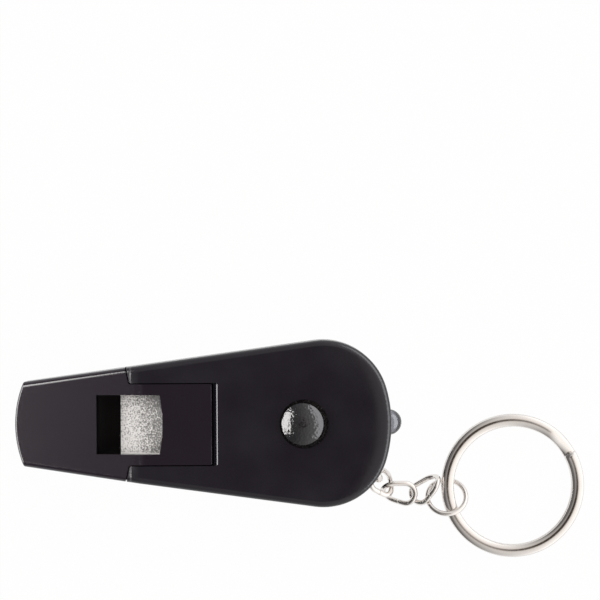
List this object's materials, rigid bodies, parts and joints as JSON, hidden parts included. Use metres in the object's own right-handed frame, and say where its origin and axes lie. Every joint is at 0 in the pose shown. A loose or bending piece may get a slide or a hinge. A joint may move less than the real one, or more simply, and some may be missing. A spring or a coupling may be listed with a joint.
{
  "type": "whistle keychain",
  "caption": "Flat tapered black whistle with a push-button LED key light in its round end, on a twisted-link chain with a jump ring and a split key ring.",
  "frame": {"origin": "on the flat back, on the button's axis", "axes": "+X along the whistle to its light and ring, +Z out of the flat back to the button, +Y to the other side from the chain"},
  "size_m": [0.1108, 0.0428, 0.0182],
  "materials": {
    "shell_plastic": "moulded black ABS, satin, fine spark grain on the whistle ramp",
    "button_plastic": "moulded black ABS, semi-gloss",
    "clear_epoxy": "water-clear cast epoxy",
    "tinned_steel": "tinned",
    "cell_steel": "nickel-plated",
    "sleeve_film": "thin insulating sleeve",
    "washer_fibre": "pressed board",
    "contact_brass": "nickel-flashed spring brass",
    "pin_steel": "plain wire",
    "nickel": "bright nickel plating on steel wire"
  },
  "bodies": {
    "whistle": {"back_shell": "shell_plastic", "front_cover": "shell_plastic", "whistle_top": "shell_plastic", "led_lens": "clear_epoxy", "battery_cell_1": "cell_steel", "battery_cell_2": "cell_steel", "battery_cell_3": "cell_steel", "cell_sleeve": "sleeve_film", "insulating_washer": "washer_fibre", "contact_blade": "contact_brass", "contact_strip": "contact_brass", "anode_lead": "tinned_steel", "cathode_lead": "tinned_steel", "chain_pin": "pin_steel"},
    "button": {"button_cap": "button_plastic"},
    "link_1": {"link_1": "nickel"},
    "link_2": {"link_2": "nickel"},
    "link_3": {"link_3": "nickel"},
    "link_4": {"link_4": "nickel"},
    "jump_ring": {"jump_ring": "nickel"},
    "split_ring": {"split_ring": "nickel"}
  },
  "joints": [
    {"name": "button_press", "type": "slide", "parent": "whistle", "child": "button", "axis": [0, 0, -1], "range_m": [0, 0.00065], "stiffness_N_per_m": 600, "springref_m": -0.001, "deforming": ["contact_blade"]},
    {"name": "link_1_swing", "type": "hinge", "parent": "whistle", "child": "link_1", "pos_m": [0.01059, -0.00825, 0.0084], "axis": [0.5736, 0.8191, 0], "range_deg": [-8, 5]},
    {"name": "link_2_swing", "type": "hinge", "parent": "link_1", "child": "link_2", "pos_m": [0.01443, -0.0112, 0.00792], "axis": [0.4285, 0.1677, 0.8878], "range_deg": [-15, 12]},
    {"name": "link_3_swing", "type": "hinge", "parent": "link_2", "child": "link_3", "pos_m": [0.01697, -0.01264, 0.00332], "axis": [-0.1031, 0.9508, -0.2921], "range_deg": [-30, 25]},
    {"name": "link_4_swing", "type": "hinge", "parent": "link_3", "child": "link_4", "pos_m": [0.02106, -0.01557, 0.00369], "axis": [0.6508, 0.7089, 0.2718], "range_deg": [-35, 25]},
    {"name": "jump_ring_swing", "type": "hinge", "parent": "link_4", "child": "jump_ring", "pos_m": [0.02786, -0.01496, 0.00245], "axis": [-0.0163, 0.524, 0.8516], "range_deg": [-40, 0]},
    {"name": "split_ring_swing", "type": "hinge", "parent": "jump_ring", "child": "split_ring", "pos_m": [0.02959, -0.01761, 0.00292], "axis": [0.3891, -0.92, -0.0468], "range_deg": [-6, 36]}
  ]
}
